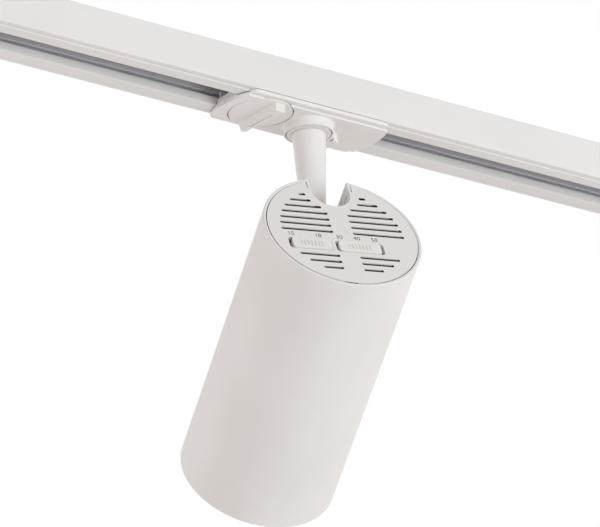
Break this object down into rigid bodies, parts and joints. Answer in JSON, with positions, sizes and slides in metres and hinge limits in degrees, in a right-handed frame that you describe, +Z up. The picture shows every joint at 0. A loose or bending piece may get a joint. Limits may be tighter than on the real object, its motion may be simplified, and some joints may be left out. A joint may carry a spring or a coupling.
{
  "type": "track spotlight",
  "caption": "Track spotlight: a cylindrical lamp head on a panning, tilting stem, clipped by a lever-locked adapter into a short length of ceiling track with a live end and an end cap.",
  "frame": {"origin": "on the ceiling face of the track, straight above the stem's pan axis", "axes": "+X along the track towards its closed end, +Z up through the ceiling"},
  "size_m": [0.507, 0.1699, 0.1958],
  "materials": {
    "track_white": "satin white powder coat",
    "head_white": "fine matt white powder coat",
    "white_plastic": "moulded, matt white",
    "stem_white": "satin white",
    "grey_insulator": "extruded, matt grey",
    "copper": "bare copper",
    "tinned_copper": "tinned copper bars",
    "steel": "zinc plated",
    "terminal_plastic": "moulded, ivory",
    "black_rubber": "matt",
    "friction_fibre": "pressed fibre",
    "black_plastic": "moulded, matt black",
    "circuit_board": "green solder mask",
    "transformer_tape": "yellow tape",
    "capacitor_sleeve": "shrink sleeve",
    "bare_aluminium": "extruded, bare",
    "phosphor": "yellow phosphor",
    "reflector_film": "bright metallised",
    "clear_glass": "clear",
    "bezel_white": "fine matt white"
  },
  "bodies": {
    "rail": {"track_rail": "track_white", "near_insulator": "grey_insulator", "far_insulator": "grey_insulator", "near_conductor": "tinned_copper", "far_conductor": "tinned_copper", "end_cap": "white_plastic", "feed_housing": "white_plastic", "feed_cover": "white_plastic", "feed_cover_screw": "steel", "terminal_block": "terminal_plastic", "terminal_screws": "steel", "feed_contacts": "copper", "cable_grommet": "black_rubber"},
    "adapter": {"adapter_cover": "white_plastic", "adapter_body": "white_plastic", "adapter_lid": "white_plastic", "adapter_screws": "steel", "wire_terminal": "terminal_plastic", "earth_spring": "steel"},
    "lever": {"lever_knob": "white_plastic", "locking_lug": "steel", "rotor": "terminal_plastic", "contact_blades": "copper", "lever_screw": "steel"},
    "stem": {"stem": "stem_white", "pan_washer": "steel", "pan_nut": "steel"},
    "head": {"head_housing": "head_white", "rear_cap": "white_plastic", "switch_board": "circuit_board", "power_switch": "black_plastic", "colour_switch": "black_plastic", "board_screws": "steel", "chassis_plate": "steel", "chassis_screws": "steel", "pivot_bracket": "steel", "bracket_screws": "steel", "pivot_bolt": "steel", "pivot_nut": "steel", "friction_washers": "friction_fibre", "driver_case": "black_plastic", "driver_board": "circuit_board", "transformer": "transformer_tape", "capacitors": "capacitor_sleeve", "heat_sink": "bare_aluminium", "led_board": "bare_aluminium", "led_emitter": "phosphor", "led_holder": "black_plastic", "holder_screws": "steel", "reflector": "reflector_film", "front_glass": "clear_glass", "front_bezel": "bezel_white"},
    "power_slider": {"power_slider": "white_plastic"},
    "colour_slider": {"colour_slider": "white_plastic"}
  },
  "joints": [
    {"name": "adapter_slide", "type": "slide", "parent": "rail", "child": "adapter", "axis": [1, 0, 0], "range_m": [-0.15, 0.15]},
    {"name": "lever_turn", "type": "hinge", "parent": "adapter", "child": "lever", "pos_m": [-0.0282, 0, -0.0225], "axis": [0, 0, 1], "range_deg": [0, 90]},
    {"name": "stem_pan", "type": "hinge", "parent": "adapter", "child": "stem", "pos_m": [0, 0, -0.0248], "axis": [0, 0, 1], "range_deg": [-175, 175]},
    {"name": "head_tilt", "type": "hinge", "parent": "stem", "child": "head", "pos_m": [0, 0, -0.08033], "axis": [0.9513, -0.3084, 0], "range_deg": [-63.25, 26.75]},
    {"name": "power_select", "type": "slide", "parent": "head", "child": "power_slider", "axis": [0.9513, -0.3084, 0], "range_m": [-0.0016, 0]},
    {"name": "colour_select", "type": "slide", "parent": "head", "child": "colour_slider", "axis": [0.9513, -0.3084, 0], "range_m": [-0.0013, 0.0013]}
  ]
}
